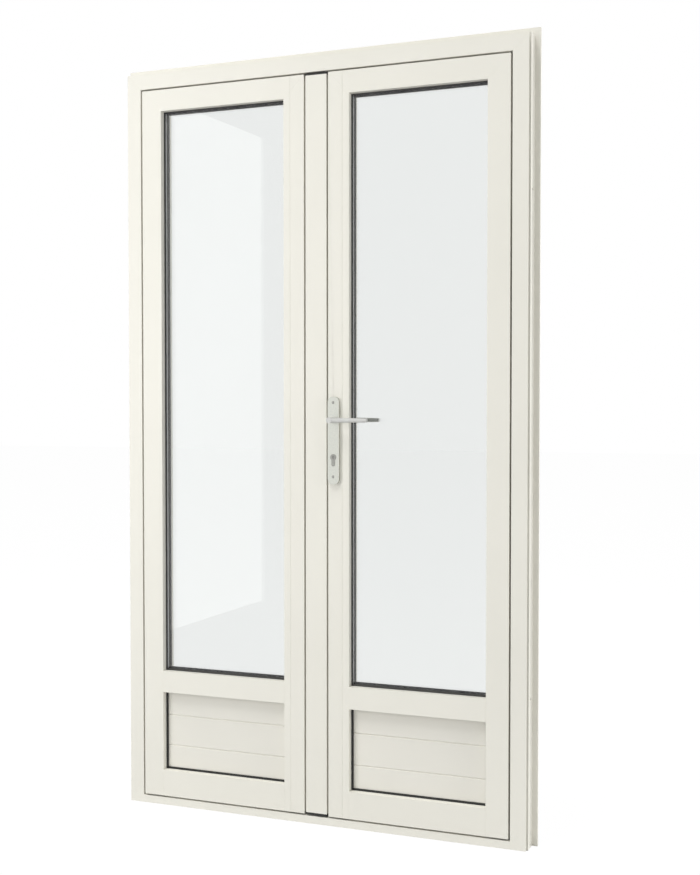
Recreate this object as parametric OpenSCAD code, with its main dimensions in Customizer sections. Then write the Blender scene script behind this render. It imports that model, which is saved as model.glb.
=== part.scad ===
// Two-leaf glazed aluminium door in its frame, opening inwards.
// Origin: middle of the threshold's underside. +X right seen from outside, +Y indoors, +Z up.

/* [Overall] */
// Width of the frame's front face
frame_w = 1200; // [900:10:1600]
// Height of the frame's front face
frame_h = 2150; // [1900:10:2400]
// Depth of the frame from front face to indoor face
frame_d = 58; // [50:1:80]
// Clear gap around and between the leaves
gap = 5; // [3:0.5:6]
// Running clearance between pieces that move past each other
clear = 0.4; // [0.3:0.1:1]

/* [Frame] */
// Face width of jambs and head
frame_face = 43.5; // [35:0.5:60]
// Height of the threshold
threshold_h = 21.5; // [18:0.5:30]
// Wall thickness of the extrusions
wall = 3; // [2:0.5:4]
// Step of the frame body beyond its front face
body_step = 4; // [0:1:8]
// Depth of the front lip before that step
front_lip_d = 8; // [8:1:20]
// Thickness of the front lip at its edge
lip_edge = 3; // [2:0.5:5]
// Depth of the groove behind that edge
edge_groove = 5; // [2:0.5:8]
// Depth at which the cover flange starts
flange_at = 50; // [40:1:52]
// Reach of the cover flange beyond the front face at the sides
flange_side = 20; // [10:1:40]
// Reach of the cover flange above the front face
flange_top = 25; // [10:1:40]
// Radius of the wall fixing holes
fixing_r = 4.25; // [3:0.25:6]
// Height of the lower fixing hole in each jamb
fixing_low = 400; // [300:10:600]
// Distance between the fixing holes of a jamb
fixing_pitch = 1350; // [900:10:1500]

/* [Leaves] */
// Face width of stiles and top rail
stile_w = 62; // [50:1:80]
// Face height of the middle rail
mid_rail_h = 62.5; // [50:0.5:80]
// Height of the middle rail's lower edge above the floor
mid_rail_z = 335; // [300:5:600]
// Face height of the bottom rail
bottom_rail_h = 77; // [60:1:100]
// Depth of the front flange in front of glass and panel
reveal_d = 18; // [12:1:20]
// Depth of the rebate that takes the glass edge
rebate = 18; // [14:1:22]
// Overlap of the leaf's indoor lip on the frame
lip = 9; // [6:1:12]
// Thickness of the indoor lip
lip_t = 5.5; // [4:0.5:8]
// Thickness of the rebate gasket between frame and lip
lip_gasket = 2.5; // [2:0.5:4]
// Depth of the lip of the meeting edges behind the front
meeting_lip_d = 20; // [18:1:22]
// Set-back of the meeting edges behind that lip
meeting_back = 8; // [6:1:12]
// Gap left between the two seals of the meeting edges
seal_gap = 1.8; // [1.6:0.1:2.4]
// Distance of the fine score line from the glass on the meeting stiles
score_from_glass = 20; // [10:1:30]
// Width of that score line
score_w = 0.8; // [0.4:0.1:1.5]
// Depth of that score line
score_d = 0.3; // [0.2:0.1:0.8]

/* [Centre strip] */
// Width of the centre strip's front face
strip_w = 63; // [50:1:80]
// Height of the top end cap
cap_top_h = 4; // [3:1:12]
// Height of the bottom end cap
cap_bottom_h = 5; // [3:1:12]

/* [Glass and panel] */
// Thickness of each pane
pane_t = 4; // [4:1:6]
// Width of the cavity between the panes
cavity = 16; // [10:1:18]
// Thickness of the glazing gaskets
gasket_t = 3; // [2:0.5:4]
// Width of the gasket seen inside the opening
gasket_in = 6.5; // [3:0.5:8]
// Clearance around the glass edge in the rebate
edge_clear = 4; // [3:0.5:6]
// Width of the spacer frame between the panes
spacer_w = 12; // [8:1:14]
// Distance of the spacer frame from the pane's edge
spacer_in = 6; // [4:1:8]
// Height of the middle board of the lower panel
board_h = 90; // [60:1:110]
// Width of the grooves between the boards
groove_w = 4; // [2:0.5:8]
// Depth of the grooves between the boards
groove_d = 2.5; // [1:0.5:5]

/* [Hinges] */
// Radius of the hinge barrel
barrel_r = 7; // [6:0.5:10]
// Radius of the hinge pin
pin_r = 3.5; // [3:0.5:5]
// Height of one hinge knuckle
knuckle_h = 38; // [25:1:50]
// Height of the lowest hinge
hinge_low = 230; // [150:10:320]
// Distance between the hinges
hinge_pitch = 800; // [600:10:850]
// Reach of the hinge's plate on the leaf from the lip's edge
hinge_plate = 42; // [35:1:60]

/* [Lock and handles] */
// Distance of the lever axis from the middle of the door
lever_x = 55; // [53:1:60]
// Height of the lever axis
lever_z = 1140; // [1000:5:1200]
// Distance from lever axis down to the cylinder
lever_to_cylinder = 103; // [85:1:110]
// Width of the handle plates
plate_w = 33; // [28:1:36]
// Height of the handle plates
plate_h = 243; // [220:1:260]
// Thickness of the handle plates
plate_t = 9; // [6:1:12]
// Corner radius of the handle plates
plate_c = 14; // [5:1:14]
// Distance of the plate's top above the lever axis
plate_up = 65; // [50:1:80]
// Distance between the plate screws
screw_pitch = 206; // [195:1:215]
// Distance from the plate's top to the upper screw
screw_in = 16; // [14:1:24]
// Radius of the plate screw heads
screw_head_r = 4; // [3:0.5:6]
// Radius of the lever neck
neck_r = 8.3; // [8:0.1:10]
// Radius of the lever grip at the neck
grip_r = 7.6; // [6:0.1:8]
// Radius of the lever grip at its end
grip_end_r = 5.6; // [4:0.1:7]
// Distance of the grip axis from the leaf's face
grip_out = 34; // [32:1:60]
// Length of the outer grip from the lever axis
grip_l = 109; // [80:1:130]
// Length of the inner grip from the lever axis
inner_grip_l = 97; // [80:1:130]
// Side of the square spindle
spindle = 8; // [7:0.5:9]
// Travel of the lock bolts
bolt_travel = 20; // [16:1:20]
// Height of the lower lock bolt
bolt_low_z = 560; // [500:10:800]
// Height of the upper lock bolt
bolt_high_z = 1560; // [1400:10:1700]
// Length of the lock bolts
bolt_l = 27.5; // [24:0.5:32]
// Height of the bolts' keep plates
bolt_keep_h = 60; // [40:1:80]
// Reach of the lock's faceplate beyond the end bolts
faceplate_over = 60; // [30:1:80]
// Reach of the lock case below the cylinder
case_down = 40; // [30:1:50]
// Reach of the lock case above the lever axis
case_up = 30; // [20:1:40]
// Depth of the lock case
case_d = 26; // [20:1:30]
// Radius of the flush bolt rods
rod_r = 4; // [3:0.5:5]
// Travel of the flush bolts
rod_travel = 16; // [10:1:18]
// Length of the flush bolt rods
rod_l = 240; // [150:10:300]

/* [Hidden] */
$fn = 48;
yf = -frame_d/2;
yb = frame_d/2;
hw = frame_w/2;
jamb_in = hw - frame_face;
head_z = frame_h - frame_face;
leaf_x = jamb_in - gap;
leaf_z0 = threshold_h + gap;
leaf_z1 = head_z - gap;
strip_x = strip_w/2;
meet_x = strip_x + gap;
open_in = meet_x + stile_w;
open_out = leaf_x - stile_w;
open_top = leaf_z1 - stile_w;
mid_top = mid_rail_z + mid_rail_h;
panel_bot = leaf_z0 + bottom_rail_h;
lip_y = yb + lip_gasket;
leaf_y = lip_y + lip_t;
lip_x = jamb_in + lip;
lip_z = head_z + lip;
meet_body = meet_x + meeting_back;
meet_flange = meet_x + 1;
strip_body = strip_x - meeting_back;
strip_flange = strip_x - 2;
y_rev = yf + reveal_d;
y_glass = y_rev + gasket_t;
y_cav = y_glass + pane_t;
y_pane2 = y_cav + cavity;
y_in = y_pane2 + pane_t;
y_bead = y_in + gasket_t;
hinge_x = lip_x + barrel_r + 1.5;
hinge_y = leaf_y + barrel_r + 0.5;
cyl_z = lever_z - lever_to_cylinder;
plate_z1 = lever_z + plate_up;
plate_z0 = plate_z1 - plate_h;
screw_z1 = plate_z1 - screw_in;
screw_z0 = screw_z1 - screw_pitch;
face_x = meet_body - 2.5;
bolt_mid_z = (lever_z + cyl_z)/2;
bolt_zs = [bolt_low_z, bolt_mid_z, bolt_high_z];
bolt_y = 4;
rod_x = 4;
rod_y = 8;
tab_top_z = leaf_z1 - rod_l + 20;
tab_bot_z = leaf_z0 + rod_l - 20;
e = 0.01;

// Box between two corners, mirrored to the left side when s is -1
module sb(s, x0, x1, y0, y1, z0, z1) {
    translate([s > 0 ? x0 : -x1, y0, z0]) cube([x1 - x0, y1 - y0, z1 - z0]);
}

// Box between two corners
module bx(x0, x1, y0, y1, z0, z1) {
    translate([x0, y0, z0]) cube([x1 - x0, y1 - y0, z1 - z0]);
}

// Flat outline in X and Z, given thickness along Y
module slab(points, y0, y1) {
    translate([0, y1, 0]) rotate([90, 0, 0]) linear_extrude(y1 - y0) polygon(points);
}

// Round bar along Y
module ycyl(x, y0, y1, z, r) {
    translate([x, y0, z]) rotate([-90, 0, 0]) cylinder(r = r, h = y1 - y0);
}

// Space above the mitre line through (x, z), rising away from the middle when up is 1
module mitre(s, x, z, up) {
    a = 5*stile_w;
    slab([[s*(x - a), z - up*a], [s*(x + a), z + up*a], [s*(x - up*a), z + a]], yf - frame_d,
        leaf_y + frame_d);
}

// Space below the same mitre line
module mitre_low(s, x, z, up) {
    a = 5*stile_w;
    slab([[s*(x - a), z - up*a], [s*(x + a), z + up*a], [s*(x + up*a), z - a]], yf - frame_d,
        leaf_y + frame_d);
}

// Rectangular ring in X and Z
module ring(s, x0, x1, z0, z1, w, y0, y1) {
    difference() {
        sb(s, x0, x1, y0, y1, z0, z1);
        sb(s, x0 + w, x1 - w, y0 - 1, y1 + 1, z0 + w, z1 - w);
    }
}

// Outline of the profile cylinder, widened by c
module euro(y0, y1, c) {
    ycyl(lever_x, y0, y1, cyl_z, 8.5 + c);
    ycyl(lever_x, y0, y1, cyl_z - 19.5, 5 + c);
    bx(lever_x - 5 - c, lever_x + 5 + c, y0, y1, cyl_z - 19.5, cyl_z);
}

// Jamb: hollow extrusion with a grooved front lip and an indoor cover flange, mitred at the top
module jamb(s) {
    zt = frame_h + flange_top;
    difference() {
        union() {
            sb(s, jamb_in, hw, yf, yf + lip_edge, 0, zt);
            sb(s, jamb_in, hw - edge_groove, yf + lip_edge, yf + front_lip_d, 0, zt);
            sb(s, jamb_in, hw + body_step, yf + front_lip_d, yf + flange_at, 0, zt);
            sb(s, jamb_in, hw + flange_side, yf + flange_at, yb, 0, zt);
        }
        mitre(s, hw, frame_h, 1);
        sb(s, jamb_in + wall, hw - edge_groove - wall, yf + wall, yf + flange_at - wall, -1, zt + 1);
        for (z = [fixing_low, fixing_low + fixing_pitch])
            translate([s*(jamb_in - 1), 2, z]) rotate([0, s*90, 0]) cylinder(r = fixing_r,
                h = frame_face + body_step + 2);
    }
}

// Head: the same extrusion, mitred to both jambs, with a pocket and hole for the top flush bolt
module head_bar() {
    w = hw + flange_side;
    difference() {
        union() {
            bx(-w, w, yf, yf + lip_edge, head_z, frame_h);
            bx(-w, w, yf + lip_edge, yf + front_lip_d, head_z, frame_h - edge_groove);
            bx(-w, w, yf + front_lip_d, yf + flange_at, head_z, frame_h + body_step);
            bx(-w, w, yf + flange_at, yb, head_z, frame_h + flange_top);
        }
        for (s = [-1, 1]) mitre_low(s, hw, frame_h, 1);
        bx(-w - 1, w + 1, yf + wall, yf + flange_at - wall,
            head_z + wall + 2, frame_h - edge_groove - wall);
        bx(rod_x - 16, rod_x + 16, rod_y - 9, rod_y + 9, head_z - 1, head_z + 2);
        translate([rod_x, rod_y, head_z - 1]) cylinder(r = rod_r + 1.5, h = rod_travel + 6);
    }
}

// Threshold: low hollow bar between the jambs, with a pocket and hole for the bottom flush bolt
module threshold_bar() {
    difference() {
        bx(-jamb_in, jamb_in, yf, yb, 0, threshold_h);
        bx(-jamb_in - 1, jamb_in + 1, yf + wall, yf + 20, wall, threshold_h - wall);
        bx(rod_x - 16, rod_x + 16, rod_y - 9, rod_y + 9, threshold_h - 2, threshold_h + 1);
        translate([rod_x, rod_y, threshold_h - rod_travel - 3]) cylinder(r = rod_r + 1.5,
            h = rod_travel + 6);
    }
}

// Keep plate with a hole for a flush bolt, let into head or threshold
module keep(z0) {
    difference() {
        bx(rod_x - 16, rod_x + 16, rod_y - 9, rod_y + 9, z0, z0 + 2);
        translate([rod_x, rod_y, z0 - 1]) cylinder(r = rod_r + clear, h = 4);
    }
}

// Keep plates of both flush bolts
module flush_keeps() {
    keep(head_z);
    keep(threshold_h - 2);
}

// Frame halves of the three hinges of one leaf
module hinge_frame(s) {
    for (i = [0:2])
        translate([0, 0, hinge_low + i*hinge_pitch]) difference() {
            union() {
                translate([s*hinge_x, hinge_y, 0]) cylinder(r = barrel_r, h = knuckle_h);
                sb(s, hinge_x, hinge_x + barrel_r + 3, yb, hinge_y, 0, knuckle_h);
                sb(s, hinge_x + barrel_r, hw + 12, yb, yb + 3, -8, knuckle_h + 8);
            }
            translate([s*hinge_x, hinge_y, -1]) cylinder(r = pin_r + 0.02, h = knuckle_h + 2);
        }
}

// Pins of all hinges
module hinge_pins() {
    for (i = [0:2], s = [-1, 1])
        translate([s*hinge_x, hinge_y, hinge_low + i*hinge_pitch]) {
            cylinder(r = pin_r, h = 2*knuckle_h + clear);
            translate([0, 0, 2*knuckle_h + clear]) cylinder(r = barrel_r - 1, h = 4);
        }
}

// Leaf halves of the three hinges of one leaf
module hinge_leaf(s) {
    for (i = [0:2])
        translate([0, 0, hinge_low + i*hinge_pitch + knuckle_h + clear]) difference() {
            union() {
                translate([s*hinge_x, hinge_y, 0]) cylinder(r = barrel_r, h = knuckle_h - clear);
                sb(s, lip_x - 8, hinge_x, leaf_y, hinge_y, 0, knuckle_h - clear);
                sb(s, lip_x - hinge_plate, lip_x - 7, leaf_y, leaf_y + 3, -8, knuckle_h + 8);
            }
            translate([s*hinge_x, hinge_y, -1]) cylinder(r = pin_r + 0.06, h = knuckle_h + 2);
        }
}

// Hinge stile: front flange, hollow body behind the glass rebate and indoor lip, mitred at the top
module hinge_stile(s) {
    difference() {
        union() {
            sb(s, open_out, leaf_x, yf, y_rev, leaf_z0, leaf_z1);
            sb(s, open_out + rebate, leaf_x, y_rev, lip_y, leaf_z0, leaf_z1);
            sb(s, open_out + rebate, lip_x, lip_y, leaf_y, leaf_z0, lip_z);
        }
        mitre(s, leaf_x, leaf_z1, 1);
        sb(s, open_out + wall, leaf_x - wall, yf + wall, y_rev - wall, leaf_z0 - 1, lip_z + 1);
        sb(s, open_out + rebate + wall, leaf_x - wall, y_rev + wall, leaf_y - wall, leaf_z0 - 1,
            lip_z + 1);
    }
}

// Fine score line beside the glass, up from z0
module score(s, z0) {
    x = open_in - score_from_glass;
    sb(s, x - score_w/2, x + score_w/2, yf - 1, yf + score_d, z0, lip_z);
}

// Meeting stile: the same without lip, set back behind its front lip, with a fine score line
module meeting_stile(s) {
    difference() {
        union() {
            sb(s, meet_x, open_in, yf, y_rev, leaf_z0, leaf_z1);
            sb(s, meet_x, open_in - rebate, y_rev, yf + meeting_lip_d, leaf_z0, leaf_z1);
            sb(s, meet_body, open_in - rebate, y_rev, leaf_y, leaf_z0, leaf_z1);
            sb(s, s > 0 ? meet_flange : meet_body, open_in - rebate, lip_y, leaf_y, leaf_z0, lip_z);
        }
        mitre(s, meet_x, leaf_z1, -1);
        sb(s, meet_x + wall, open_in - wall, yf + wall, y_rev - wall, leaf_z0 - 1, lip_z + 1);
        sb(s, meet_body + wall, open_in - rebate - wall, y_rev + wall + 2, leaf_y - wall, leaf_z0 - 1,
            lip_z + 1);
        score(s, leaf_z0 - 1);
    }
}

// Meeting stile of the right leaf, with the holes for lock, spindle, cylinder and screws
module right_meeting() {
    difference() {
        meeting_stile(1);
        euro(yf - 1, leaf_y + 1, 0.2);
        ycyl(lever_x, yf - 1, leaf_y + 1, lever_z, neck_r + 2);
        for (z = [screw_z0, screw_z1]) ycyl(lever_x, yf - 1, leaf_y + 1, z, 2.7);
        for (z = bolt_zs)
            bx(meet_body - 1, meet_body + wall + 1, bolt_y - 6 - clear, bolt_y + 6 + clear,
                z - 12 - clear, z + 12 + clear);
    }
}

// Top rail: mitred to both stiles, with the indoor lip
module top_rail(s) {
    x0 = s > 0 ? meet_flange : meet_body;
    difference() {
        union() {
            sb(s, meet_x, leaf_x, yf, y_rev, open_top, leaf_z1);
            sb(s, meet_x, leaf_x, y_rev, yf + meeting_lip_d, open_top + rebate, leaf_z1);
            sb(s, meet_body, leaf_x, y_rev, lip_y, open_top + rebate, leaf_z1);
            sb(s, x0, lip_x, lip_y, leaf_y, open_top + rebate, lip_z);
        }
        mitre_low(s, leaf_x, leaf_z1, 1);
        mitre_low(s, meet_x, leaf_z1, -1);
        sb(s, meet_x - 1, leaf_x + 1, yf + wall, y_rev - wall, open_top + wall, leaf_z1 - wall);
        sb(s, meet_body - 1, leaf_x + 1, y_rev + wall + 2, lip_y - wall, open_top + rebate + wall,
            leaf_z1 - wall);
        score(s, open_top);
    }
}

// Middle rail: butts between the stiles, with a rebate above and below
module mid_rail(s) {
    difference() {
        union() {
            sb(s, open_in, open_out, yf, y_rev, mid_rail_z, mid_top);
            sb(s, open_in - rebate, open_out + rebate, y_rev, leaf_y, mid_rail_z + rebate,
                mid_top - rebate);
        }
        sb(s, open_in - 1, open_out + 1, yf + wall, y_rev - wall, mid_rail_z + wall, mid_top - wall);
        sb(s, open_in - rebate - 1, open_out + rebate + 1, y_rev + wall, leaf_y - wall,
            mid_rail_z + rebate + wall, mid_top - rebate - wall);
    }
}

// Bottom rail: butts between the stiles, with a rebate above
module bottom_rail(s) {
    difference() {
        union() {
            sb(s, open_in, open_out, yf, y_rev, leaf_z0, panel_bot);
            sb(s, open_in - rebate, open_out + rebate, y_rev, leaf_y, leaf_z0, panel_bot - rebate);
        }
        sb(s, open_in - 1, open_out + 1, yf + wall, y_rev - wall, leaf_z0 + wall, panel_bot - wall);
        sb(s, open_in - rebate - 1, open_out + rebate + 1, y_rev + wall, leaf_y - wall,
            leaf_z0 + wall, panel_bot - rebate - wall);
    }
}

// Filling of an opening: box reaching into the rebate all round
module filling(s, y0, y1, z0, z1, grow) {
    sb(s, open_in - grow, open_out + grow, y0, y1, z0 - grow, z1 + grow);
}

// Gasket ring of an opening
module gasket(s, y0, z0, z1) {
    g = rebate - edge_clear;
    ring(s, open_in - g, open_out + g, z0 - g, z1 + g, g + gasket_in, y0, y0 + gasket_t);
}

// Four glazing beads of an opening, the upright ones between the level ones
module beads(s, z0, z1) {
    x0 = open_in - rebate;
    x1 = open_out + rebate;
    for (z = [z0 - rebate, z1]) sb(s, x0, x1, y_bead, leaf_y, z, z + rebate);
    for (x = [x0, open_out]) sb(s, x, x + rebate, y_bead, leaf_y, z0 + e, z1 - e);
}

// Spacer frame between the panes
module spacer(s) {
    g = rebate - edge_clear - spacer_in;
    ring(s, open_in - g, open_out + g, mid_top - g, open_top + g, spacer_w, y_cav, y_pane2);
}

// Lower panel of level boards, grooved on both faces
module panel(s) {
    g = rebate - edge_clear;
    zm = (mid_rail_z + panel_bot)/2;
    x0 = s > 0 ? open_in : -open_out;
    difference() {
        filling(s, y_glass, y_in, panel_bot, mid_rail_z, g);
        for (z = [zm - board_h/2, zm + board_h/2], y = [y_glass, y_in])
            translate([x0 - g - 1, y, z]) rotate([90, 0, 90])
                linear_extrude(open_out - open_in + 2*g + 2)
                    polygon([[-groove_d, 0], [0, -groove_w/2], [groove_d, 0], [0, groove_w/2]]);
    }
}

// Gasket under the indoor lip, up the hinge side and along the top, and the seal behind the meeting lip
module lip_gasket_strip(s) {
    m = strip_x + gap/2 + s*seal_gap/2;
    bx(s > 0 ? m : strip_body, s > 0 ? meet_body : m, yf + meeting_lip_d, yf + meeting_lip_d + 2.8,
        leaf_z0 + cap_bottom_h, leaf_z1 - cap_top_h);
    x0 = s > 0 ? meet_flange : meet_body;
    sb(s, jamb_in + 2, lip_x - 1, yb + clear, lip_y, leaf_z0, lip_z - 1);
    sb(s, x0, jamb_in + 2, yb + clear, lip_y, head_z + 2, lip_z - 1);
}

// Seal under the bottom rail
module bottom_seal(s) {
    sb(s, meet_body + wall, leaf_x - wall, -6, 6, threshold_h + clear, leaf_z0);
}

// Centre strip fixed to the left leaf: flush front, hollow body, indoor flange
module centre_strip() {
    z0 = leaf_z0 + cap_bottom_h;
    z1 = leaf_z1 - cap_top_h;
    difference() {
        union() {
            bx(-strip_x, strip_x, yf, yf + meeting_lip_d, z0, z1);
            bx(-meet_body, strip_body, yf + meeting_lip_d, leaf_y, z0, z1);
            bx(-meet_body, strip_flange, lip_y, leaf_y, leaf_z0, lip_z);
        }
        bx(-strip_x + wall, strip_x - wall, yf + wall, yf + meeting_lip_d - wall, z0 - 1, z1 + 1);
        bx(-meet_body + wall, strip_body - wall, yf + meeting_lip_d + wall, lip_y - wall, z0 - 1, z1 + 1);
        for (z = bolt_zs)
            bx(strip_body - wall - 1, strip_body + 1, bolt_y - 6 - clear, bolt_y + 6 + clear,
                z - 12 - clear, z + 12 + clear);
        bx(strip_body - wall - 1, strip_body + 1, rod_y - 3 - clear, rod_y + 3 + clear,
            tab_top_z - 7 - clear, tab_top_z + 7 + rod_travel + clear);
        bx(strip_body - wall - 1, strip_body + 1, rod_y - 3 - clear, rod_y + 3 + clear,
            tab_bot_z - 7 - rod_travel - clear, tab_bot_z + 7 + clear);
    }
}

// Moulded end cap of the centre strip, with the guide hole of a flush bolt
module strip_cap(z0, h) {
    difference() {
        union() {
            bx(-strip_x, strip_x, yf, yf + meeting_lip_d, z0, z0 + h);
            bx(-meet_body, strip_body, yf + meeting_lip_d, lip_y, z0, z0 + h);
        }
        translate([rod_x, rod_y, z0 - 1]) cylinder(r = rod_r + 0.05, h = h + 2);
    }
}

// Keep plates for the lock bolts, on the edge of the centre strip
module bolt_keeps() {
    for (z = bolt_zs) difference() {
        bx(strip_body, strip_body + 2, bolt_y - 10, bolt_y + 10, z - bolt_keep_h/2, z + bolt_keep_h/2);
        bx(strip_body - 1, strip_body + 3, bolt_y - 6 - clear, bolt_y + 6 + clear, z - 12 - clear,
            z + 12 + clear);
    }
}

// Flush bolt: rod with a thumb tab through the strip's edge
module flush_bolt(z0, tz) {
    translate([rod_x, rod_y, z0]) cylinder(r = rod_r, h = rod_l);
    bx(rod_x, strip_body + 4, rod_y - 3, rod_y + 3, tz - 7, tz + 7);
}

// Lock case in the right meeting stile
module lock_case() {
    difference() {
        bx(meet_body + wall, open_in - rebate - wall, y_rev + wall + 2, y_rev + wall + 2 + case_d,
            cyl_z - case_down, lever_z + case_up);
        euro(y_rev, leaf_y, 0.2);
        ycyl(lever_x, y_rev, leaf_y, lever_z, neck_r);
        bx(meet_body, meet_body + 32, bolt_y - 6 - clear, bolt_y + 6 + clear,
            bolt_mid_z - 12 - clear, bolt_mid_z + 12 + clear);
    }
}

// Long faceplate on the edge of the right meeting stile
module lock_faceplate() {
    difference() {
        bx(face_x, meet_body, bolt_y - 10, bolt_y + 10, bolt_low_z - faceplate_over,
            bolt_high_z + faceplate_over);
        for (z = bolt_zs)
            bx(face_x - 1, meet_body + 1, bolt_y - 6 - clear, bolt_y + 6 + clear, z - 12 - clear,
                z + 12 + clear);
    }
}

// Handle plate with round corners; screws are part of it
module plate(y0, y1, ys) {
    c = min(plate_c, plate_w/2 - 1);
    x0 = lever_x - plate_w/2;
    x1 = lever_x + plate_w/2;
    difference() {
        union() {
            bx(x0 + c, x1 - c, y0, y1, plate_z0, plate_z1);
            bx(x0, x1, y0, y1, plate_z0 + c, plate_z1 - c);
            for (x = [x0 + c, x1 - c], z = [plate_z0 + c, plate_z1 - c]) ycyl(x, y0, y1, z, c);
            for (z = [screw_z0, screw_z1]) ycyl(lever_x, min(ys, y0), max(ys, y1), z, screw_head_r);
        }
        for (z = [screw_z0, screw_z1]) bx(lever_x - 2.6, lever_x + 2.6, ys - 0.5, ys + 0.5, z - 0.5,
            z + 0.5);
        euro(y0 - 1, y1 + 1, 0.2);
        ycyl(lever_x, y0 - 1, y1 + 1, lever_z, neck_r + 0.05);
    }
}

// Profile cylinder with a round bore for its plug
module cylinder_body() {
    difference() {
        euro(yf - plate_t - 1.5, leaf_y + plate_t + 1.5, 0);
        ycyl(lever_x, yf - plate_t - 3, leaf_y + plate_t + 3, cyl_z, 6.05);
    }
}

// Turning plug of the cylinder with a key slot at both ends
module cylinder_plug() {
    y0 = yf - plate_t - 1.5;
    y1 = leaf_y + plate_t + 1.5;
    difference() {
        ycyl(lever_x, y0, y1, cyl_z, 6);
        bx(lever_x - 0.9, lever_x + 0.9, y0 - 1, y0 + 14, cyl_z - 4, cyl_z + 4);
        bx(lever_x - 0.9, lever_x + 0.9, y1 - 14, y1 + 1, cyl_z - 4, cyl_z + 4);
    }
}

// Lever on the outside: round neck and a straight grip tapering to its end
module lever(l) {
    yg = yf - grip_out;
    difference() {
        union() {
            ycyl(lever_x, yg - grip_r - 0.8, yf - 1, lever_z, neck_r);
            translate([lever_x, yg, lever_z]) rotate([0, 90, 0]) cylinder(r1 = grip_r, r2 = grip_end_r,
                h = l);
        }
        spindle_bar();
    }
}

// Inner lever, mirrored through the leaf
module lever_inner() {
    translate([0, yf + leaf_y, 0]) mirror([0, 1, 0]) lever(inner_grip_l);
}

// Square spindle through the lock case
module spindle_bar() {
    bx(lever_x - spindle/2, lever_x + spindle/2, yf - 12, leaf_y + 12, lever_z - spindle/2,
        lever_z + spindle/2);
}

// Three lock bolts, drawn back behind the faceplate
module lock_bolts() {
    for (z = bolt_zs) bx(face_x + 0.5, face_x + 0.5 + bolt_l, bolt_y - 6, bolt_y + 6, z - 12, z + 12);
}

WHITE = [0.89, 0.88, 0.83];
BLACK = [0.10, 0.10, 0.10];
SILVER = [0.80, 0.81, 0.79];
STEEL = [0.62, 0.63, 0.64];
GLASS = [0.86, 0.91, 0.92, 0.35];

color(WHITE) jamb(-1);  // jamb_left
color(WHITE) jamb(1);  // jamb_right
color(WHITE) head_bar();  // head
color(WHITE) threshold_bar();  // threshold
color(STEEL) flush_keeps();
color(WHITE) hinge_frame(-1);  // hinge_frame_left
color(WHITE) hinge_frame(1);  // hinge_frame_right
color(STEEL) hinge_pins();
color(WHITE) hinge_stile(-1);  // left_hinge_stile
color(WHITE) meeting_stile(-1);  // left_meeting_stile
color(WHITE) top_rail(-1);  // left_top_rail
color(WHITE) mid_rail(-1);  // left_mid_rail
color(WHITE) bottom_rail(-1);  // left_bottom_rail
color(GLASS) filling(-1, y_glass, y_cav, mid_top, open_top, rebate - edge_clear);  // left_pane_outer
color(GLASS) filling(-1, y_pane2, y_in, mid_top, open_top, rebate - edge_clear);  // left_pane_inner
color(STEEL) spacer(-1);  // left_spacer
color(BLACK) gasket(-1, y_rev, mid_top, open_top);  // left_glass_gasket_outer
color(BLACK) gasket(-1, y_in, mid_top, open_top);  // left_glass_gasket_inner
color(WHITE) beads(-1, mid_top, open_top);  // left_glass_beads
color(WHITE) panel(-1);  // left_panel
color(BLACK) gasket(-1, y_rev, panel_bot, mid_rail_z);  // left_panel_gasket_outer
color(BLACK) gasket(-1, y_in, panel_bot, mid_rail_z);  // left_panel_gasket_inner
color(WHITE) beads(-1, panel_bot, mid_rail_z);  // left_panel_beads
color(BLACK) lip_gasket_strip(-1);  // left_lip_gasket
color(BLACK) bottom_seal(-1);  // left_bottom_seal
color(WHITE) hinge_leaf(-1);  // left_hinges
color(WHITE) centre_strip();
color(BLACK) strip_cap(leaf_z1 - cap_top_h, cap_top_h);  // strip_cap_top
color(BLACK) strip_cap(leaf_z0, cap_bottom_h);  // strip_cap_bottom
color(STEEL) bolt_keeps();
color(STEEL) flush_bolt(leaf_z1 - rod_l, tab_top_z);  // flush_bolt_top
color(STEEL) flush_bolt(leaf_z0, tab_bot_z);  // flush_bolt_bottom
color(WHITE) hinge_stile(1);  // right_hinge_stile
color(WHITE) right_meeting();  // right_meeting_stile
color(WHITE) top_rail(1);  // right_top_rail
color(WHITE) mid_rail(1);  // right_mid_rail
color(WHITE) bottom_rail(1);  // right_bottom_rail
color(GLASS) filling(1, y_glass, y_cav, mid_top, open_top, rebate - edge_clear);  // right_pane_outer
color(GLASS) filling(1, y_pane2, y_in, mid_top, open_top, rebate - edge_clear);  // right_pane_inner
color(STEEL) spacer(1);  // right_spacer
color(BLACK) gasket(1, y_rev, mid_top, open_top);  // right_glass_gasket_outer
color(BLACK) gasket(1, y_in, mid_top, open_top);  // right_glass_gasket_inner
color(WHITE) beads(1, mid_top, open_top);  // right_glass_beads
color(WHITE) panel(1);  // right_panel
color(BLACK) gasket(1, y_rev, panel_bot, mid_rail_z);  // right_panel_gasket_outer
color(BLACK) gasket(1, y_in, panel_bot, mid_rail_z);  // right_panel_gasket_inner
color(WHITE) beads(1, panel_bot, mid_rail_z);  // right_panel_beads
color(BLACK) lip_gasket_strip(1);  // right_lip_gasket
color(BLACK) bottom_seal(1);  // right_bottom_seal
color(WHITE) hinge_leaf(1);  // right_hinges
color(STEEL) lock_case();
color(STEEL) lock_faceplate();
color(SILVER) plate(yf - plate_t, yf, yf - plate_t - 0.8);  // plate_outer
color(SILVER) plate(leaf_y, leaf_y + plate_t, leaf_y + plate_t + 0.8);  // plate_inner
color(SILVER) cylinder_body();  // cylinder
color(STEEL) cylinder_plug();
color(SILVER) lever(grip_l);  // lever_outer
color(SILVER) lever_inner();
color(STEEL) spindle_bar();  // spindle
color(STEEL) lock_bolts();
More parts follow.
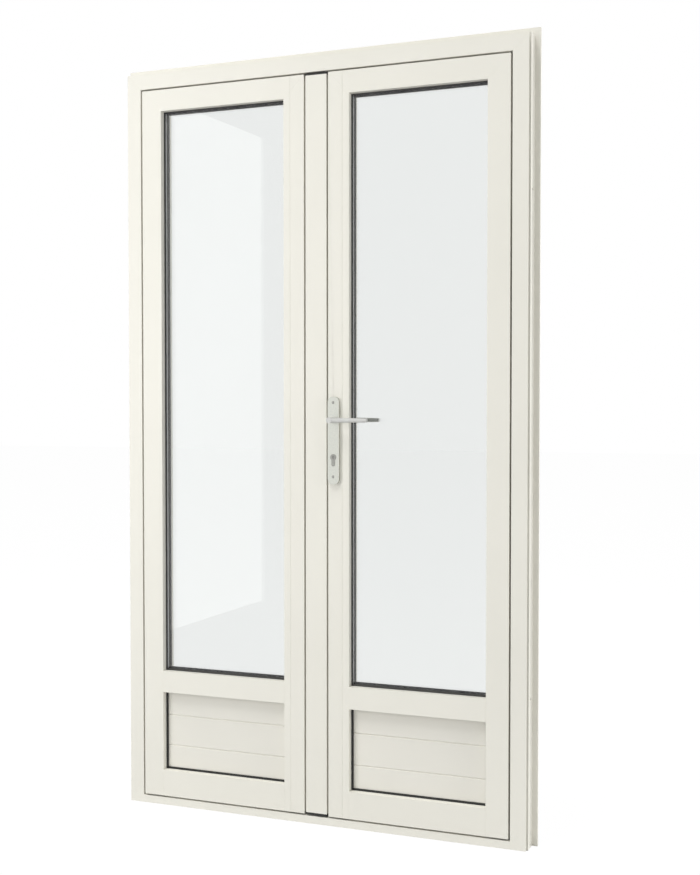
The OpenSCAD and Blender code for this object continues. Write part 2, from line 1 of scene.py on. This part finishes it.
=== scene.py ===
# Two-leaf glazed aluminium door in its frame, cream white, seen from outside.
import bmesh
import bpy
import math
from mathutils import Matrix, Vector


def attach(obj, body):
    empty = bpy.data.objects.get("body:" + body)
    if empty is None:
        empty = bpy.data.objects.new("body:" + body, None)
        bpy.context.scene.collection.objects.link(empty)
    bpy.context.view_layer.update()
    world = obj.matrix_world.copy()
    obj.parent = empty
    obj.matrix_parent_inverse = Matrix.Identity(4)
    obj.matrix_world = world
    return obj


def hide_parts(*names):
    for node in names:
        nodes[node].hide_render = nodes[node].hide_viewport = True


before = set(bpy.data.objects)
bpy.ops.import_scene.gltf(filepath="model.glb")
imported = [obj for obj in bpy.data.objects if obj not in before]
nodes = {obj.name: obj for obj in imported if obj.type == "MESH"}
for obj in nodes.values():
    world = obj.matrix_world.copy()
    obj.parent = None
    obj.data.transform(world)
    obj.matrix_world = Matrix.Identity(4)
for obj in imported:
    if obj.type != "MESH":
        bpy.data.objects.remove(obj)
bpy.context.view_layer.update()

# Camera
# A photographer's camera stands to the right of the door, at chest height, a little turned down.
# Its place and lens come from the door's own edges, measured in a 700 by 875 frame.
IMAGE_H = 875
FOCAL_PX = 1219.8
SENSOR_HEIGHT = 36
CAMERA_PLACE = Vector((1.3075, -3.1788, 1.1692))
CAMERA_YAW = math.radians(20.876)
CAMERA_PITCH = math.radians(1.631)
CENTRE_PX = (1.58, 6.92)
camera_data = bpy.data.cameras.new("camera")
camera_data.sensor_fit = "VERTICAL"
camera_data.sensor_height = SENSOR_HEIGHT
camera_data.lens = FOCAL_PX / IMAGE_H * SENSOR_HEIGHT
camera_data.shift_x = -CENTRE_PX[0] / IMAGE_H
camera_data.shift_y = CENTRE_PX[1] / IMAGE_H
camera = bpy.data.objects.new("camera", camera_data)
camera.location = CAMERA_PLACE
camera.rotation_euler = (math.radians(90) - CAMERA_PITCH, 0, CAMERA_YAW)
bpy.context.scene.collection.objects.link(camera)
bpy.context.scene.camera = camera

# Outer frame
# Jambs, head and threshold are extruded aluminium bars with a satin cream powder coat.
# Head and jambs are mitred; the threshold is cut between the jambs.
MM = 0.001
COAT_LIGHT = (0.810, 0.794, 0.720, 1)
COAT_DARK = (0.790, 0.774, 0.700, 1)
COAT_ROUGHNESS = 0.42
COAT_ROUGHNESS_SPREAD = 0.06
COAT_CLOUD = 3.0
COAT_GRAIN = 900
COAT_GRAIN_DETAIL = 2.0
COAT_BUMP = 0.12
COAT_BUMP_DEPTH = 0.15 * MM
RAMP_START, RAMP_END = 0.35, 0.65
WELD_GAP = 0.01 * MM
EDGE_ANGLE = math.radians(35)
EDGE_ROUND = 0.35 * MM


def new_material(name):
    material = bpy.data.materials.new(name)
    material.use_nodes = True
    return material, material.node_tree, material.node_tree.nodes["Principled BSDF"]


def noise(tree, scale, detail=3.0):
    place = tree.nodes.new("ShaderNodeTexCoord")
    texture = tree.nodes.new("ShaderNodeTexNoise")
    texture.inputs["Scale"].default_value = scale
    texture.inputs["Detail"].default_value = detail
    tree.links.new(place.outputs["Object"], texture.inputs["Vector"])
    return texture


def colour_by(tree, texture, low, high, socket):
    ramp = tree.nodes.new("ShaderNodeValToRGB")
    ramp.color_ramp.elements[0].position = RAMP_START
    ramp.color_ramp.elements[0].color = low
    ramp.color_ramp.elements[1].position = RAMP_END
    ramp.color_ramp.elements[1].color = high
    tree.links.new(texture.outputs["Fac"], ramp.inputs["Fac"])
    tree.links.new(ramp.outputs["Color"], socket)


def spread_by(tree, texture, low, high, socket):
    span = tree.nodes.new("ShaderNodeMapRange")
    span.inputs["To Min"].default_value = low
    span.inputs["To Max"].default_value = high
    tree.links.new(texture.outputs["Fac"], span.inputs["Value"])
    tree.links.new(span.outputs["Result"], socket)


def bump_by(tree, texture, strength, distance, shader):
    bump = tree.nodes.new("ShaderNodeBump")
    bump.inputs["Strength"].default_value = strength
    bump.inputs["Distance"].default_value = distance
    tree.links.new(texture.outputs["Fac"], bump.inputs["Height"])
    tree.links.new(bump.outputs["Normal"], shader.inputs["Normal"])


def powder_coat(name, low, high):
    material, tree, shader = new_material(name)
    cloud = noise(tree, COAT_CLOUD)
    grain = noise(tree, COAT_GRAIN, COAT_GRAIN_DETAIL)
    colour_by(tree, cloud, low, high, shader.inputs["Base Color"])
    spread_by(tree, grain, COAT_ROUGHNESS - COAT_ROUGHNESS_SPREAD, COAT_ROUGHNESS + COAT_ROUGHNESS_SPREAD,
              shader.inputs["Roughness"])
    bump_by(tree, grain, COAT_BUMP, COAT_BUMP_DEPTH, shader)
    return material


def soften(obj, width, segments=2):
    weld = obj.modifiers.new("join", "WELD")
    weld.merge_threshold = WELD_GAP
    bevel = obj.modifiers.new("edge", "BEVEL")
    bevel.width = width
    bevel.segments = segments
    bevel.limit_method = "ANGLE"
    bevel.angle_limit = EDGE_ANGLE


def dress(names, material, width=None):
    for name in names:
        obj = nodes[name]
        obj.data.materials.clear()
        obj.data.materials.append(material)
        if width:
            soften(obj, width)


coat = powder_coat("cream_powder_coat", COAT_DARK, COAT_LIGHT)
dress(["jamb_left", "jamb_right", "head", "threshold"], coat, EDGE_ROUND)

# Leaf bars
# Each leaf has two stiles and a top rail mitred together, with a middle and a bottom rail cut
# between the stiles. They are extruded aluminium in the same coat, crimped on hidden corner cleats.
LEAF_BARS = ["hinge_stile", "meeting_stile", "top_rail", "mid_rail", "bottom_rail"]
SIDES = ["left_", "right_"]
dress([side + bar for side in SIDES for bar in LEAF_BARS], coat, EDGE_ROUND)

# Glazing beads
# Square beads of extruded aluminium, in the same coat, run round glass and panel indoors.
# They clip into the leaf and press the glass and the panel on their gaskets.
dress([side + kind for side in SIDES for kind in ("glass_beads", "panel_beads")], coat, EDGE_ROUND)

# Lower panels
# A sandwich panel of two aluminium skins on foam fills the foot of each leaf, in a like coat.
# Level boards are pressed into both skins, and beads hold the panel in the leaf.
PANEL_LIGHT = (0.800, 0.780, 0.710, 1)
PANEL_DARK = (0.775, 0.758, 0.690, 1)
PANEL_ROUND = 0.5 * MM
panel_coat = powder_coat("cream_panel_coat", PANEL_DARK, PANEL_LIGHT)
dress([side + "panel" for side in SIDES], panel_coat, PANEL_ROUND)

# Double glazing
# Each leaf holds two panes of clear float glass, cut square and left with plain edges.
# They are sealed to a spacer frame, and rest between the outer and the inner gasket.
GLASS_TINT = (0.903, 0.913, 0.908, 1)
GLASS_IOR = 1.5
GLASS_WAVE = 4.0
GLASS_ROUGHNESS = 0.012
glass, glass_tree, glass_shader = new_material("clear_float_glass")
glass_shader.inputs["Base Color"].default_value = GLASS_TINT
glass_shader.inputs["Transmission Weight"].default_value = 1.0
glass_shader.inputs["IOR"].default_value = GLASS_IOR
spread_by(glass_tree, noise(glass_tree, GLASS_WAVE), 0.0, GLASS_ROUGHNESS, glass_shader.inputs["Roughness"])
dress([side + pane for side in SIDES for pane in ("pane_outer", "pane_inner")], glass)

# Spacer frames
# A pale aluminium spacer keeps the two panes apart; black sealant covers its indoor part.
# The copy shown has its inner edge drawn back, so that less of it stands past the bars.
SPACER_LIGHT = (0.92, 0.92, 0.92, 1)
SPACER_DARK = (0.82, 0.82, 0.82, 1)
SPACER_METALLIC = 0.15
SPACER_ROUGHNESS = (0.35, 0.5)
SPACER_CLOUD = 60
SPACER_GRAIN = 300
SEALANT = (0.04, 0.04, 0.04, 1)
SEALANT_FROM_Y = 2.5 * MM
SPACER_TRIM = {"left": 1.0 * MM, "right": 1.0 * MM, "bottom": 0.5 * MM, "top": 2.7 * MM}
OUTLINE_MARGIN = 1.0 * MM
spacer, spacer_tree, spacer_shader = new_material("spacer_metal")
spacer_shader.inputs["Metallic"].default_value = SPACER_METALLIC
spacer_tint = spacer_tree.nodes.new("ShaderNodeMix")
spacer_tint.data_type = "RGBA"
colour_by(spacer_tree, noise(spacer_tree, SPACER_CLOUD), SPACER_DARK, SPACER_LIGHT, spacer_tint.inputs["A"])
spacer_tint.inputs["B"].default_value = SEALANT
spacer_place = spacer_tree.nodes.new("ShaderNodeTexCoord")
spacer_depth = spacer_tree.nodes.new("ShaderNodeSeparateXYZ")
spacer_tree.links.new(spacer_place.outputs["Object"], spacer_depth.inputs["Vector"])
sealed = spacer_tree.nodes.new("ShaderNodeMath")
sealed.operation = "GREATER_THAN"
sealed.inputs[1].default_value = SEALANT_FROM_Y
spacer_tree.links.new(spacer_depth.outputs["Y"], sealed.inputs[0])
spacer_tree.links.new(sealed.outputs[0], spacer_tint.inputs["Factor"])
spacer_tree.links.new(spacer_tint.outputs["Result"], spacer_shader.inputs["Base Color"])
spacer_grain = noise(spacer_tree, SPACER_GRAIN)
spread_by(spacer_tree, spacer_grain, *SPACER_ROUGHNESS, spacer_shader.inputs["Roughness"])


def slim_ring(name, body, material, trim, width=None):
    dress([name], material)
    obj = bpy.data.objects.new(name + "_slim", nodes[name].data.copy())
    bpy.context.scene.collection.objects.link(obj)
    across = [vertex.co.x for vertex in obj.data.vertices]
    upward = [vertex.co.z for vertex in obj.data.vertices]
    middle_x = (min(across) + max(across)) / 2
    middle_z = (min(upward) + max(upward)) / 2
    for vertex in obj.data.vertices:
        inside_x = min(across) + OUTLINE_MARGIN < vertex.co.x < max(across) - OUTLINE_MARGIN
        inside_z = min(upward) + OUTLINE_MARGIN < vertex.co.z < max(upward) - OUTLINE_MARGIN
        if inside_x and inside_z:
            vertex.co.x += trim["right"] if vertex.co.x > middle_x else -trim["left"]
            vertex.co.z += trim["top"] if vertex.co.z > middle_z else -trim["bottom"]
    if width:
        soften(obj, width)
    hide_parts(name)
    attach(obj, body)


for side in SIDES:
    slim_ring(side + "spacer", side + "leaf", spacer, SPACER_TRIM)

# Gaskets and seals
# Black rubber strips are pushed into grooves of the bars: round glass and panel on both faces, under
# the leaf's indoor lip and under the bottom rail. Those round the glass are given a lighter grey-black than
# the rest, and those round glass and panel are shown slimmer than their solids.
RUBBER_LIGHT = (0.022, 0.022, 0.021, 1)
RUBBER_DARK = (0.012, 0.012, 0.012, 1)
GLAZING_RUBBER_LIGHT = (0.054, 0.054, 0.052, 1)
GLAZING_RUBBER_DARK = (0.038, 0.038, 0.037, 1)
RUBBER_ROUGHNESS = (0.55, 0.75)
RUBBER_GRAIN = 700
RUBBER_BUMP = 0.2
RUBBER_BUMP_DEPTH = 0.1 * MM
GLASS_SEALS = ["glass_gasket_outer", "glass_gasket_inner"]
PANEL_SEALS = ["panel_gasket_outer", "panel_gasket_inner"]
EDGE_SEALS = ["lip_gasket", "bottom_seal"]
SEAL_ROUND = 0.5 * MM
GLASS_TRIM = {"left": 2.1 * MM, "right": 2.1 * MM, "bottom": 0, "top": 2.1 * MM}
PANEL_TRIM = {"left": 0.3 * MM, "right": 2.1 * MM, "bottom": 0.5 * MM, "top": 2.1 * MM}


def moulded_rubber(name, dark, light):
    material, tree, shader = new_material(name)
    grain = noise(tree, RUBBER_GRAIN)
    colour_by(tree, grain, dark, light, shader.inputs["Base Color"])
    spread_by(tree, grain, *RUBBER_ROUGHNESS, shader.inputs["Roughness"])
    bump_by(tree, grain, RUBBER_BUMP, RUBBER_BUMP_DEPTH, shader)
    return material


rubber = moulded_rubber("black_rubber", RUBBER_DARK, RUBBER_LIGHT)
# The glazing gaskets get a lighter grey-black than the other rubber.
glazing_rubber = moulded_rubber("lighter_black_rubber", GLAZING_RUBBER_DARK, GLAZING_RUBBER_LIGHT)
for side in SIDES:
    for seal in GLASS_SEALS:
        slim_ring(side + seal, side + "leaf", glazing_rubber, GLASS_TRIM, SEAL_ROUND)
    for seal in PANEL_SEALS:
        slim_ring(side + seal, side + "leaf", rubber, PANEL_TRIM, SEAL_ROUND)
    dress([side + seal for seal in EDGE_SEALS], rubber, SEAL_ROUND)

# Centre strip
# An extruded strip in the same coat is screwed to the edge of the left leaf and covers the meeting
# of the leaves. Moulded black caps, dressed like the rubber, close its two ends.
CAP_ROUND = 0.5 * MM
dress(["centre_strip"], coat, EDGE_ROUND)
dress(["strip_cap_top", "strip_cap_bottom"], rubber, CAP_ROUND)

# Hinges
# Three barrel hinges a leaf stand indoors, coated like the bars and screwed to jamb and stile.
# They turn on zinc plated steel pins with a round head.
PIN_LIGHT = (0.62, 0.62, 0.63, 1)
PIN_DARK = (0.50, 0.50, 0.51, 1)
STEEL_ROUGHNESS = 0.34
STEEL_GRAIN = 120
METAL_DETAIL = 4.0
METAL_ROUGHNESS_SPREAD = 0.05
JOIN_GAP = 0.005 * MM
FLAT_ANGLE = math.radians(0.5)
SHARP_ANGLE = math.radians(32)
HINGE_ROUND = 0.5 * MM
PIN_ROUND = 0.4 * MM
HINGE_NODES = {"hinge_frame_left": "frame", "hinge_frame_right": "frame", "left_hinges": "left_leaf",
               "right_hinges": "right_leaf"}


def bare_metal(name, low, high, roughness, grain):
    material, tree, shader = new_material(name)
    shader.inputs["Metallic"].default_value = 1.0
    texture = noise(tree, grain, METAL_DETAIL)
    colour_by(tree, texture, low, high, shader.inputs["Base Color"])
    spread_by(tree, texture, roughness - METAL_ROUGHNESS_SPREAD, roughness + METAL_ROUGHNESS_SPREAD,
              shader.inputs["Roughness"])
    return material


def join_faces(mesh):
    work = bmesh.new()
    work.from_mesh(mesh)
    bmesh.ops.remove_doubles(work, verts=work.verts, dist=JOIN_GAP)
    bmesh.ops.dissolve_limit(work, angle_limit=FLAT_ANGLE, verts=work.verts, edges=work.edges)
    work.to_mesh(mesh)
    work.free()


def smooth(name, body, width):
    obj = bpy.data.objects.new(name + "_smooth", nodes[name].data.copy())
    bpy.context.scene.collection.objects.link(obj)
    join_faces(obj.data)
    obj.data.set_sharp_from_angle(angle=SHARP_ANGLE)
    for face in obj.data.polygons:
        face.use_smooth = True
    soften(obj, width)
    evener = obj.modifiers.new("even", "WEIGHTED_NORMAL")
    evener.keep_sharp = True
    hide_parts(name)
    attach(obj, body)


steel = bare_metal("zinc_plated_steel", PIN_DARK, PIN_LIGHT, STEEL_ROUGHNESS, STEEL_GRAIN)
for name, body in HINGE_NODES.items():
    dress([name], coat)
    smooth(name, body, HINGE_ROUND)
dress(["hinge_pins"], steel)
smooth("hinge_pins", "frame", PIN_ROUND)

# Lock and bolts
# The lock case sits in the right meeting stile behind a long steel faceplate with three sliding bolts.
# Keep plates on the left leaf take them, and two flush bolts hold the left leaf to head and threshold.
LOCK_ROUND = 0.3 * MM
dress(["lock_case", "lock_faceplate", "lock_bolts", "bolt_keeps", "flush_keeps"], steel, LOCK_ROUND)
for name in ("flush_bolt_top", "flush_bolt_bottom"):
    dress([name], steel)
    smooth(name, name, LOCK_ROUND)

# Small screws
# Raised cross-head steel screws hold the hinge plates, the bolts' keep plates, the faceplate and the
# flush keeps. Each head is turned to face out of the plate that it holds.
HEAD_RADIUS = 3.2 * MM
HEAD_HEIGHT = 0.9 * MM
HEAD_SEGMENTS = 20
HEAD_RINGS = 10
RECESS_WIDTH = 0.9 * MM
RECESS_LENGTH = 3.6 * MM
HINGE_FEET = [230 * MM, 1030 * MM, 1830 * MM]
HINGE_SCREW_RISES = (2 * MM, 36 * MM)
FRAME_HINGE_X, FRAME_HINGE_Y = 0.600, 0.032
LEAF_HINGE_X, LEAF_HINGE_Y = 0.536, 0.040
LEAF_HINGE_LIFT = 0.0384
BOLT_HEIGHTS = [560 * MM, 1088.5 * MM, 1560 * MM]
BOLT_SCREW_RISES = (-22 * MM, 22 * MM)
BOLT_SCREW_Y = 0.004
FLUSH_SCREW_XS = (-0.007, 0.015)
FLUSH_SCREW_Y = 0.008
HEAD_KEEP_Z = 2.1065
THRESHOLD_KEEP_Z = 0.0215


def end_of(name, axis, pick):
    return pick(corner[axis] for corner in nodes[name].bound_box)


frame_screws = []
left_screws = []
right_screws = []
for foot in HINGE_FEET:
    for rise in HINGE_SCREW_RISES:
        for side in (-1, 1):
            frame_screws.append(((side * FRAME_HINGE_X, FRAME_HINGE_Y, foot + rise), (0, 1, 0)))
        leaf_height = foot + LEAF_HINGE_LIFT + rise
        left_screws.append(((-LEAF_HINGE_X, LEAF_HINGE_Y, leaf_height), (0, 1, 0)))
        right_screws.append(((LEAF_HINGE_X, LEAF_HINGE_Y, leaf_height), (0, 1, 0)))
for height in BOLT_HEIGHTS:
    for rise in BOLT_SCREW_RISES:
        left_screws.append(((end_of("bolt_keeps", 0, max), BOLT_SCREW_Y, height + rise), (1, 0, 0)))
        right_screws.append(((end_of("lock_faceplate", 0, min), BOLT_SCREW_Y, height + rise), (-1, 0, 0)))
for x in FLUSH_SCREW_XS:
    frame_screws.append(((x, FLUSH_SCREW_Y, HEAD_KEEP_Z), (0, 0, -1)))
    frame_screws.append(((x, FLUSH_SCREW_Y, THRESHOLD_KEEP_Z), (0, 0, 1)))


def screw_tree():
    tree = bpy.data.node_groups.new("screw_heads", "GeometryNodeTree")
    face = tree.interface
    face.new_socket("Geometry", in_out="INPUT", socket_type="NodeSocketGeometry")
    for name in ("Head Radius", "Head Height", "Recess Width", "Recess Length"):
        face.new_socket(name, in_out="INPUT", socket_type="NodeSocketFloat")
    face.new_socket("Material", in_out="INPUT", socket_type="NodeSocketMaterial")
    face.new_socket("Geometry", in_out="OUTPUT", socket_type="NodeSocketGeometry")
    given = tree.nodes.new("NodeGroupInput")
    result = tree.nodes.new("NodeGroupOutput")
    make = tree.nodes.new
    link = tree.links.new
    dome = make("GeometryNodeMeshUVSphere")
    dome.inputs["Segments"].default_value = HEAD_SEGMENTS
    dome.inputs["Rings"].default_value = HEAD_RINGS
    link(given.outputs["Head Radius"], dome.inputs["Radius"])
    flatness = make("ShaderNodeMath")
    flatness.operation = "DIVIDE"
    link(given.outputs["Head Height"], flatness.inputs[0])
    link(given.outputs["Head Radius"], flatness.inputs[1])
    flat_scale = make("ShaderNodeCombineXYZ")
    flat_scale.inputs["X"].default_value = 1
    flat_scale.inputs["Y"].default_value = 1
    link(flatness.outputs[0], flat_scale.inputs["Z"])
    head = make("GeometryNodeTransform")
    link(dome.outputs["Mesh"], head.inputs["Geometry"])
    link(flat_scale.outputs["Vector"], head.inputs["Scale"])
    cutters = make("GeometryNodeJoinGeometry")
    for along, across in (("X", "Y"), ("Y", "X")):
        size = make("ShaderNodeCombineXYZ")
        link(given.outputs["Recess Length"], size.inputs[along])
        link(given.outputs["Recess Width"], size.inputs[across])
        link(given.outputs["Head Height"], size.inputs["Z"])
        bar = make("GeometryNodeMeshCube")
        link(size.outputs["Vector"], bar.inputs["Size"])
        lift = make("ShaderNodeCombineXYZ")
        link(given.outputs["Head Height"], lift.inputs["Z"])
        raised = make("GeometryNodeTransform")
        link(bar.outputs["Mesh"], raised.inputs["Geometry"])
        link(lift.outputs["Vector"], raised.inputs["Translation"])
        link(raised.outputs["Geometry"], cutters.inputs["Geometry"])
    recess = make("GeometryNodeMeshBoolean")
    recess.operation = "DIFFERENCE"
    link(head.outputs["Geometry"], recess.inputs["Mesh 1"])
    link(cutters.outputs["Geometry"], recess.inputs["Mesh 2"])
    aim = make("GeometryNodeInputNamedAttribute")
    aim.data_type = "FLOAT_VECTOR"
    aim.inputs["Name"].default_value = "aim"
    turn = make("FunctionNodeAlignRotationToVector")
    turn.axis = "Z"
    link(aim.outputs["Attribute"], turn.inputs["Vector"])
    points = make("GeometryNodeMeshToPoints")
    link(given.outputs["Geometry"], points.inputs["Mesh"])
    spread = make("GeometryNodeInstanceOnPoints")
    link(points.outputs["Points"], spread.inputs["Points"])
    link(recess.outputs["Mesh"], spread.inputs["Instance"])
    link(turn.outputs["Rotation"], spread.inputs["Rotation"])
    real = make("GeometryNodeRealizeInstances")
    link(spread.outputs["Instances"], real.inputs["Geometry"])
    finish = make("GeometryNodeSetMaterial")
    link(real.outputs["Geometry"], finish.inputs["Geometry"])
    link(given.outputs["Material"], finish.inputs["Material"])
    link(finish.outputs["Geometry"], result.inputs["Geometry"])
    return tree


def bake(obj, tree, inputs):
    modifier = obj.modifiers.new("maker", "NODES")
    modifier.node_group = tree
    for item in tree.interface.items_tree:
        if item.in_out == "INPUT" and item.name in inputs:
            modifier[item.identifier] = inputs[item.name]
    bpy.context.view_layer.update()
    graph = bpy.context.evaluated_depsgraph_get()
    made = bpy.data.meshes.new_from_object(obj.evaluated_get(graph))
    obj.modifiers.remove(modifier)
    obj.data = made


heads = screw_tree()


def screws(name, places, body, radius, metal):
    mesh = bpy.data.meshes.new(name)
    mesh.from_pydata([place for place, aim in places], [], [])
    attribute = mesh.attributes.new("aim", "FLOAT_VECTOR", "POINT")
    for index, (place, aim) in enumerate(places):
        attribute.data[index].vector = aim
    obj = bpy.data.objects.new(name, mesh)
    bpy.context.scene.collection.objects.link(obj)
    bake(obj, heads, {"Head Radius": radius, "Head Height": HEAD_HEIGHT, "Recess Width": RECESS_WIDTH,
                      "Recess Length": RECESS_LENGTH, "Material": metal})
    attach(obj, body)


screws("frame_screws", frame_screws, "frame", HEAD_RADIUS, steel)
screws("left_leaf_screws", left_screws, "left_leaf", HEAD_RADIUS, steel)
screws("right_leaf_screws", right_screws, "right_leaf", HEAD_RADIUS, steel)

# Handle plates and cylinder
# Long plates of satin anodised aluminium are held through the leaf on both faces by dull nickel screws.
# A nickel plated profile cylinder stands through both, with a turning plug.
SATIN_LIGHT = (0.66, 0.67, 0.61, 1)
SATIN_DARK = (0.60, 0.61, 0.56, 1)
SATIN_ROUGHNESS = 0.36
SATIN_GRAIN = 260
NICKEL_LIGHT = (0.40, 0.40, 0.37, 1)
NICKEL_DARK = (0.32, 0.32, 0.30, 1)
NICKEL_ROUGHNESS = 0.38
NICKEL_GRAIN = 200
PLATE_ROUND = 0.6 * MM
CYLINDER_ROUND = 0.3 * MM
PLUG_ROUND = 0.2 * MM
LEVER_X = 55 * MM
PLATE_SCREW_HEIGHTS = [983 * MM, 1189 * MM]
PLATE_HEAD_RADIUS = 4.1 * MM
satin = bare_metal("satin_anodised_aluminium", SATIN_DARK, SATIN_LIGHT, SATIN_ROUGHNESS, SATIN_GRAIN)
for name in ("plate_outer", "plate_inner"):
    dress([name], satin)
    smooth(name, "right_leaf", PLATE_ROUND)
nickel = bare_metal("dull_nickel", NICKEL_DARK, NICKEL_LIGHT, NICKEL_ROUGHNESS, NICKEL_GRAIN)
dress(["cylinder", "cylinder_plug"], nickel)
smooth("cylinder", "right_leaf", CYLINDER_ROUND)
smooth("cylinder_plug", "plug", PLUG_ROUND)
plate_screws = []
for height in PLATE_SCREW_HEIGHTS:
    plate_screws.append(((LEVER_X, end_of("plate_outer", 1, min), height), (0, -1, 0)))
    plate_screws.append(((LEVER_X, end_of("plate_inner", 1, max), height), (0, 1, 0)))
screws("plate_screws", plate_screws, "right_leaf", PLATE_HEAD_RADIUS, nickel)

# Levers
# Each lever is a tapered aluminium bar on a round neck, with a satin finish.
# A square steel spindle through the lock case joins the two.
LEVER_LIGHT = (0.62, 0.62, 0.60, 1)
LEVER_DARK = (0.56, 0.56, 0.54, 1)
LEVER_METALLIC = 0.55
LEVER_ROUGHNESS = 0.38
LEVER_GRAIN = 60
LEVER_ROUND = 1.2 * MM
SPINDLE_ROUND = 0.3 * MM
lever_metal = bare_metal("satin_lever_metal", LEVER_DARK, LEVER_LIGHT, LEVER_ROUGHNESS, LEVER_GRAIN)
lever_metal.node_tree.nodes["Principled BSDF"].inputs["Metallic"].default_value = LEVER_METALLIC
for name in ("lever_outer", "lever_inner"):
    dress([name], lever_metal)
    smooth(name, "levers", LEVER_ROUND)
dress(["spindle"], steel, SPINDLE_ROUND)

# Floor and light
# A plain white floor lies in a white room, lit by a large lamp overhead, soft lamps at left and right
# and one indoors. A bright card at the left shows only in reflections and through the glass; the left
# pane mirrors it.
WHITE = (1, 1, 1, 1)
FLOOR_SIZE = 60
FLOOR_WHITE = (0.65, 0.65, 0.65, 1)
FLOOR_ROUGHNESS = 0.9
FLOOR_GLOW = 0.95
FLOOR_GLOW_STRENGTH = 1.03
FILL_LIGHT = 0.30


def seen_rays(tree):
    path = tree.nodes.new("ShaderNodeLightPath")
    first = tree.nodes.new("ShaderNodeMath")
    first.operation = "MAXIMUM"
    second = tree.nodes.new("ShaderNodeMath")
    second.operation = "MAXIMUM"
    tree.links.new(path.outputs["Is Camera Ray"], first.inputs[0])
    tree.links.new(path.outputs["Is Glossy Ray"], first.inputs[1])
    tree.links.new(first.outputs[0], second.inputs[0])
    tree.links.new(path.outputs["Is Transmission Ray"], second.inputs[1])
    return second.outputs[0]


half = FLOOR_SIZE / 2
floor_corners = [(-half, -half, 0), (half, -half, 0), (half, half, 0), (-half, half, 0)]
floor_mesh = bpy.data.meshes.new("floor")
floor_mesh.from_pydata(floor_corners, [], [(0, 1, 2, 3)])
floor = bpy.data.objects.new("floor", floor_mesh)
bpy.context.scene.collection.objects.link(floor)
floor_material, floor_tree, floor_shader = new_material("white_floor")
floor_shader.inputs["Base Color"].default_value = FLOOR_WHITE
floor_shader.inputs["Roughness"].default_value = FLOOR_ROUGHNESS
floor_shader.inputs["Specular IOR Level"].default_value = 0.0
glow = floor_tree.nodes.new("ShaderNodeEmission")
glow.inputs["Strength"].default_value = FLOOR_GLOW_STRENGTH
share = floor_tree.nodes.new("ShaderNodeMath")
share.operation = "MULTIPLY"
share.inputs[1].default_value = FLOOR_GLOW
floor_tree.links.new(seen_rays(floor_tree), share.inputs[0])
blend = floor_tree.nodes.new("ShaderNodeMixShader")
floor_tree.links.new(share.outputs[0], blend.inputs["Fac"])
floor_tree.links.new(floor_shader.outputs["BSDF"], blend.inputs[1])
floor_tree.links.new(glow.outputs["Emission"], blend.inputs[2])
floor_tree.links.new(blend.outputs["Shader"], floor_tree.nodes["Material Output"].inputs["Surface"])
floor_mesh.materials.append(floor_material)

world = bpy.data.worlds.new("white_room")
world.use_nodes = True
world_tree = world.node_tree
fill = world_tree.nodes["Background"]
fill.inputs["Color"].default_value = WHITE
fill.inputs["Strength"].default_value = FILL_LIGHT
white = world_tree.nodes.new("ShaderNodeBackground")
white.inputs["Color"].default_value = WHITE
white.inputs["Strength"].default_value = 1.0
choose = world_tree.nodes.new("ShaderNodeMixShader")
world_tree.links.new(seen_rays(world_tree), choose.inputs["Fac"])
world_tree.links.new(fill.outputs["Background"], choose.inputs[1])
world_tree.links.new(white.outputs["Background"], choose.inputs[2])
world_tree.links.new(choose.outputs["Shader"], world_tree.nodes["World Output"].inputs["Surface"])
bpy.context.scene.world = world


def soft_lamp(name, place, aim, size, power, mirrored):
    data = bpy.data.lights.new(name, "AREA")
    data.shape = "RECTANGLE"
    data.size, data.size_y = size
    data.energy = power
    lamp = bpy.data.objects.new(name, data)
    lamp.location = place
    lamp.rotation_euler = (Vector(aim) - Vector(place)).to_track_quat("-Z", "Y").to_euler()
    lamp.visible_glossy = mirrored
    lamp.visible_transmission = False
    bpy.context.scene.collection.objects.link(lamp)


soft_lamp("left_lamp", place=(-2.6, -3.2, 1.9), aim=(0.25, 0, 1.05), size=(1.8, 2.6),
          power=60, mirrored=False)
soft_lamp("top_lamp", place=(-2.2, -4.4, 12.4), aim=(0, 0, 1.0), size=(3.2, 8.0),
          power=1140, mirrored=False)
soft_lamp("right_lamp", place=(6.2, -0.80, 1.4), aim=(0.6, 0, 1.1), size=(2.0, 2.4),
          power=118, mirrored=True)
soft_lamp("indoor_lamp", place=(2.7, 3.0, 1.5), aim=(0, 0, 1.2), size=(1.2, 2.2),
          power=85, mirrored=False)

CARD_CORNERS = [(-1.67, -3.19, 0.07), (-1.77, -1.40, 0.05), (-1.77, -1.40, 2.70), (-1.67, -3.19, 2.72)]
CARD_LOW, CARD_HIGH = 1.55, 1.75
CARD_CLOUD = 0.6
card_mesh = bpy.data.meshes.new("soft_box_card")
card_mesh.from_pydata(CARD_CORNERS, [], [(0, 1, 2, 3)])
card = bpy.data.objects.new("soft_box_card", card_mesh)
bpy.context.scene.collection.objects.link(card)
card_material = bpy.data.materials.new("soft_box_cloth")
card_material.use_nodes = True
card_tree = card_material.node_tree
card_glow = card_tree.nodes.new("ShaderNodeEmission")
spread_by(card_tree, noise(card_tree, CARD_CLOUD), CARD_LOW, CARD_HIGH, card_glow.inputs["Strength"])
card_tree.links.new(card_glow.outputs["Emission"], card_tree.nodes["Material Output"].inputs["Surface"])
card_mesh.materials.append(card_material)
card.visible_camera = False
card.visible_diffuse = False
card.visible_shadow = False
bpy.context.scene.view_settings.view_transform = "Standard"
